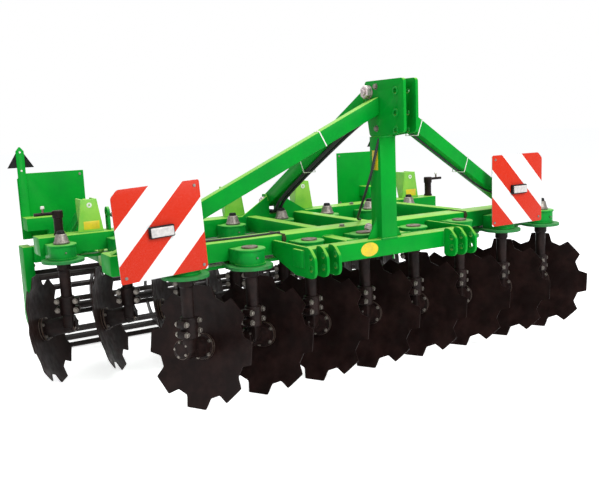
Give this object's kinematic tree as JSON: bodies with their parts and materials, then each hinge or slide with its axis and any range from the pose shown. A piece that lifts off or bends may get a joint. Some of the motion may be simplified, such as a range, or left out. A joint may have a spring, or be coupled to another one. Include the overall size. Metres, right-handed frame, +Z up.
{
  "type": "disc harrow",
  "caption": "Mounted disc harrow with two opposed rows of notched discs on linked swivel legs, a three-point headstock, cage roller, road signs and depth links.",
  "frame": {"origin": "on the ground under the middle of the bounding box", "axes": "+X to the machine's right seen from behind, +Y rearwards from the hitch to the roller, +Z up"},
  "size_m": [3.3058, 2.3802, 1.59],
  "materials": {
    "green_paint": "gloss",
    "light_green_paint": "gloss",
    "disc_steel": "satin",
    "leg_black": "satin",
    "roller_black": "satin",
    "bare_steel": "satin",
    "red_and_white": "gloss",
    "lamp_lens": "gloss",
    "hose_rubber": "matte",
    "adjuster_steel": "satin"
  },
  "bodies": {
    "frame": {"front_beam": "green_paint", "rear_beam": "green_paint", "frame_rails": "green_paint", "headstock_beam": "green_paint", "hitch_plates": "green_paint", "mast_post": "green_paint", "mast_head": "green_paint", "side_braces": "green_paint", "rear_stay": "green_paint", "frame_pins": "bare_steel", "front_bosses": "green_paint", "rear_bosses": "green_paint", "roller_brackets": "light_green_paint", "sign_brackets": "green_paint", "front_signs": "red_and_white", "sign_lamps": "lamp_lens", "adjusting_screws": "adjuster_steel", "hoses": "hose_rubber"},
    "front_leg_1": {"front_leg_1": "leg_black"},
    "front_disc_1": {"front_disc_1": "disc_steel"},
    "front_leg_2": {"front_leg_2": "leg_black"},
    "front_disc_2": {"front_disc_2": "disc_steel"},
    "front_leg_3": {"front_leg_3": "leg_black"},
    "front_disc_3": {"front_disc_3": "disc_steel"},
    "front_leg_4": {"front_leg_4": "leg_black"},
    "front_disc_4": {"front_disc_4": "disc_steel"},
    "front_leg_5": {"front_leg_5": "leg_black"},
    "front_disc_5": {"front_disc_5": "disc_steel"},
    "front_leg_6": {"front_leg_6": "leg_black"},
    "front_disc_6": {"front_disc_6": "disc_steel"},
    "front_leg_7": {"front_leg_7": "leg_black"},
    "front_disc_7": {"front_disc_7": "disc_steel"},
    "front_leg_8": {"front_leg_8": "leg_black"},
    "front_disc_8": {"front_disc_8": "disc_steel"},
    "front_link_bar": {"front_link_bar": "green_paint"},
    "rear_leg_1": {"rear_leg_1": "leg_black"},
    "rear_disc_1": {"rear_disc_1": "disc_steel"},
    "rear_leg_2": {"rear_leg_2": "leg_black"},
    "rear_disc_2": {"rear_disc_2": "disc_steel"},
    "rear_leg_3": {"rear_leg_3": "leg_black"},
    "rear_disc_3": {"rear_disc_3": "disc_steel"},
    "rear_leg_4": {"rear_leg_4": "leg_black"},
    "rear_disc_4": {"rear_disc_4": "disc_steel"},
    "rear_leg_5": {"rear_leg_5": "leg_black"},
    "rear_disc_5": {"rear_disc_5": "disc_steel"},
    "rear_leg_6": {"rear_leg_6": "leg_black"},
    "rear_disc_6": {"rear_disc_6": "disc_steel"},
    "rear_leg_7": {"rear_leg_7": "leg_black"},
    "rear_disc_7": {"rear_disc_7": "disc_steel"},
    "rear_leg_8": {"rear_leg_8": "leg_black"},
    "rear_disc_8": {"rear_disc_8": "disc_steel"},
    "rear_link_bar": {"rear_link_bar": "green_paint"},
    "roller_frame": {"roller_cross_tube": "green_paint", "roller_trail_arms": "green_paint", "roller_side_arms": "green_paint", "rear_boards": "green_paint"},
    "roller_cage": {"roller_bars": "roller_black", "roller_rings": "roller_black"},
    "depth_link_left": {"depth_link_left": "green_paint"},
    "depth_link_right": {"depth_link_right": "green_paint"}
  },
  "joints": [
    {"name": "front_leg_4_swivel", "type": "hinge", "parent": "frame", "child": "front_leg_4", "pos_m": [0, -0.76509, 0.748], "axis": [0, 0, 1], "range_deg": [-20, 0]},
    {"name": "front_leg_1_swivel", "type": "hinge", "parent": "frame", "child": "front_leg_1", "pos_m": [-1.05, -0.76509, 0.748], "axis": [0, 0, 1], "range_deg": [-20, 0]},
    {"name": "front_leg_2_swivel", "type": "hinge", "parent": "frame", "child": "front_leg_2", "pos_m": [-0.7, -0.76509, 0.748], "axis": [0, 0, 1], "range_deg": [-20, 0]},
    {"name": "front_leg_3_swivel", "type": "hinge", "parent": "frame", "child": "front_leg_3", "pos_m": [-0.35, -0.76509, 0.748], "axis": [0, 0, 1], "range_deg": [-20, 0]},
    {"name": "front_leg_5_swivel", "type": "hinge", "parent": "frame", "child": "front_leg_5", "pos_m": [0.35, -0.76509, 0.748], "axis": [0, 0, 1], "range_deg": [-20, 0]},
    {"name": "front_leg_6_swivel", "type": "hinge", "parent": "frame", "child": "front_leg_6", "pos_m": [0.7, -0.76509, 0.748], "axis": [0, 0, 1], "range_deg": [-20, 0]},
    {"name": "front_leg_7_swivel", "type": "hinge", "parent": "frame", "child": "front_leg_7", "pos_m": [1.05, -0.76509, 0.748], "axis": [0, 0, 1], "range_deg": [-20, 0]},
    {"name": "front_leg_8_swivel", "type": "hinge", "parent": "frame", "child": "front_leg_8", "pos_m": [1.4, -0.76509, 0.748], "axis": [0, 0, 1], "range_deg": [-20, 0]},
    {"name": "front_link_pivot", "type": "hinge", "parent": "front_leg_4", "child": "front_link_bar", "pos_m": [-0.03299, -0.57798, 0.681], "axis": [0, 0, 1], "range_deg": [0, 20]},
    {"name": "front_disc_1_spin", "type": "hinge", "parent": "front_leg_1", "child": "front_disc_1", "pos_m": [-0.96581, -0.67492, 0.30633], "axis": [0.8529, 0.4924, -0.1736], "continuous": true},
    {"name": "front_disc_2_spin", "type": "hinge", "parent": "front_leg_2", "child": "front_disc_2", "pos_m": [-0.61581, -0.67492, 0.30633], "axis": [0.8529, 0.4924, -0.1736], "continuous": true},
    {"name": "front_disc_3_spin", "type": "hinge", "parent": "front_leg_3", "child": "front_disc_3", "pos_m": [-0.26581, -0.67492, 0.30633], "axis": [0.8529, 0.4924, -0.1736], "continuous": true},
    {"name": "front_disc_4_spin", "type": "hinge", "parent": "front_leg_4", "child": "front_disc_4", "pos_m": [0.08419, -0.67492, 0.30633], "axis": [0.8529, 0.4924, -0.1736], "continuous": true},
    {"name": "front_disc_5_spin", "type": "hinge", "parent": "front_leg_5", "child": "front_disc_5", "pos_m": [0.43419, -0.67492, 0.30633], "axis": [0.8529, 0.4924, -0.1736], "continuous": true},
    {"name": "front_disc_6_spin", "type": "hinge", "parent": "front_leg_6", "child": "front_disc_6", "pos_m": [0.78419, -0.67492, 0.30633], "axis": [0.8529, 0.4924, -0.1736], "continuous": true},
    {"name": "front_disc_7_spin", "type": "hinge", "parent": "front_leg_7", "child": "front_disc_7", "pos_m": [1.13419, -0.67492, 0.30633], "axis": [0.8529, 0.4924, -0.1736], "continuous": true},
    {"name": "front_disc_8_spin", "type": "hinge", "parent": "front_leg_8", "child": "front_disc_8", "pos_m": [1.48419, -0.67492, 0.30633], "axis": [0.8529, 0.4924, -0.1736], "continuous": true},
    {"name": "rear_leg_4_swivel", "type": "hinge", "parent": "frame", "child": "rear_leg_4", "pos_m": [-0.35, 0.13491, 0.748], "axis": [0, 0, -1], "range_deg": [-20, 0]},
    {"name": "rear_leg_1_swivel", "type": "hinge", "parent": "frame", "child": "rear_leg_1", "pos_m": [-1.4, 0.13491, 0.748], "axis": [0, 0, -1], "range_deg": [-20, 0]},
    {"name": "rear_leg_2_swivel", "type": "hinge", "parent": "frame", "child": "rear_leg_2", "pos_m": [-1.05, 0.13491, 0.748], "axis": [0, 0, -1], "range_deg": [-20, 0]},
    {"name": "rear_leg_3_swivel", "type": "hinge", "parent": "frame", "child": "rear_leg_3", "pos_m": [-0.7, 0.13491, 0.748], "axis": [0, 0, -1], "range_deg": [-20, 0]},
    {"name": "rear_leg_5_swivel", "type": "hinge", "parent": "frame", "child": "rear_leg_5", "pos_m": [0, 0.13491, 0.748], "axis": [0, 0, -1], "range_deg": [-20, 0]},
    {"name": "rear_leg_6_swivel", "type": "hinge", "parent": "frame", "child": "rear_leg_6", "pos_m": [0.35, 0.13491, 0.748], "axis": [0, 0, -1], "range_deg": [-20, 0]},
    {"name": "rear_leg_7_swivel", "type": "hinge", "parent": "frame", "child": "rear_leg_7", "pos_m": [0.7, 0.13491, 0.748], "axis": [0, 0, -1], "range_deg": [-20, 0]},
    {"name": "rear_leg_8_swivel", "type": "hinge", "parent": "frame", "child": "rear_leg_8", "pos_m": [1.05, 0.13491, 0.748], "axis": [0, 0, -1], "range_deg": [-20, 0]},
    {"name": "rear_link_pivot", "type": "hinge", "parent": "rear_leg_4", "child": "rear_link_bar", "pos_m": [-0.31701, 0.32202, 0.681], "axis": [0, 0, -1], "range_deg": [0, 20]},
    {"name": "rear_disc_1_spin", "type": "hinge", "parent": "rear_leg_1", "child": "rear_disc_1", "pos_m": [-1.48419, 0.22508, 0.30633], "axis": [-0.8529, 0.4924, -0.1736], "continuous": true},
    {"name": "rear_disc_2_spin", "type": "hinge", "parent": "rear_leg_2", "child": "rear_disc_2", "pos_m": [-1.13419, 0.22508, 0.30633], "axis": [-0.8529, 0.4924, -0.1736], "continuous": true},
    {"name": "rear_disc_3_spin", "type": "hinge", "parent": "rear_leg_3", "child": "rear_disc_3", "pos_m": [-0.78419, 0.22508, 0.30633], "axis": [-0.8529, 0.4924, -0.1736], "continuous": true},
    {"name": "rear_disc_4_spin", "type": "hinge", "parent": "rear_leg_4", "child": "rear_disc_4", "pos_m": [-0.43419, 0.22508, 0.30633], "axis": [-0.8529, 0.4924, -0.1736], "continuous": true},
    {"name": "rear_disc_5_spin", "type": "hinge", "parent": "rear_leg_5", "child": "rear_disc_5", "pos_m": [-0.08419, 0.22508, 0.30633], "axis": [-0.8529, 0.4924, -0.1736], "continuous": true},
    {"name": "rear_disc_6_spin", "type": "hinge", "parent": "rear_leg_6", "child": "rear_disc_6", "pos_m": [0.26581, 0.22508, 0.30633], "axis": [-0.8529, 0.4924, -0.1736], "continuous": true},
    {"name": "rear_disc_7_spin", "type": "hinge", "parent": "rear_leg_7", "child": "rear_disc_7", "pos_m": [0.61581, 0.22508, 0.30633], "axis": [-0.8529, 0.4924, -0.1736], "continuous": true},
    {"name": "rear_disc_8_spin", "type": "hinge", "parent": "rear_leg_8", "child": "rear_disc_8", "pos_m": [0.96581, 0.22508, 0.30633], "axis": [-0.8529, 0.4924, -0.1736], "continuous": true},
    {"name": "roller_lift", "type": "hinge", "parent": "frame", "child": "roller_frame", "pos_m": [0, 0.42491, 0.63], "axis": [1, 0, 0], "range_deg": [0, 8]},
    {"name": "roller_spin", "type": "hinge", "parent": "roller_frame", "child": "roller_cage", "pos_m": [0, 0.93491, 0.25519], "axis": [1, 0, 0], "continuous": true},
    {"name": "depth_link_left_pivot", "type": "hinge", "parent": "roller_frame", "child": "depth_link_left", "pos_m": [-1.19, 0.85991, 0.74], "axis": [1, 0, 0], "range_deg": [-3, 0]},
    {"name": "depth_link_right_pivot", "type": "hinge", "parent": "roller_frame", "child": "depth_link_right", "pos_m": [1.19, 0.85991, 0.74], "axis": [1, 0, 0], "range_deg": [-3, 0]}
  ],
  "couplings": [
    {"joint": "front_leg_1_swivel", "follows": "front_leg_4_swivel", "ratio": 1},
    {"joint": "front_leg_2_swivel", "follows": "front_leg_4_swivel", "ratio": 1},
    {"joint": "front_leg_3_swivel", "follows": "front_leg_4_swivel", "ratio": 1},
    {"joint": "front_leg_5_swivel", "follows": "front_leg_4_swivel", "ratio": 1},
    {"joint": "front_leg_6_swivel", "follows": "front_leg_4_swivel", "ratio": 1},
    {"joint": "front_leg_7_swivel", "follows": "front_leg_4_swivel", "ratio": 1},
    {"joint": "front_leg_8_swivel", "follows": "front_leg_4_swivel", "ratio": 1},
    {"joint": "front_link_pivot", "follows": "front_leg_4_swivel", "ratio": -1},
    {"joint": "rear_leg_1_swivel", "follows": "rear_leg_4_swivel", "ratio": 1},
    {"joint": "rear_leg_2_swivel", "follows": "rear_leg_4_swivel", "ratio": 1},
    {"joint": "rear_leg_3_swivel", "follows": "rear_leg_4_swivel", "ratio": 1},
    {"joint": "rear_leg_5_swivel", "follows": "rear_leg_4_swivel", "ratio": 1},
    {"joint": "rear_leg_6_swivel", "follows": "rear_leg_4_swivel", "ratio": 1},
    {"joint": "rear_leg_7_swivel", "follows": "rear_leg_4_swivel", "ratio": 1},
    {"joint": "rear_leg_8_swivel", "follows": "rear_leg_4_swivel", "ratio": 1},
    {"joint": "rear_link_pivot", "follows": "rear_leg_4_swivel", "ratio": -1},
    {"joint": "depth_link_left_pivot", "follows": "roller_lift", "ratio": -0.35054},
    {"joint": "depth_link_right_pivot", "follows": "roller_lift", "ratio": -0.35054}
  ]
}
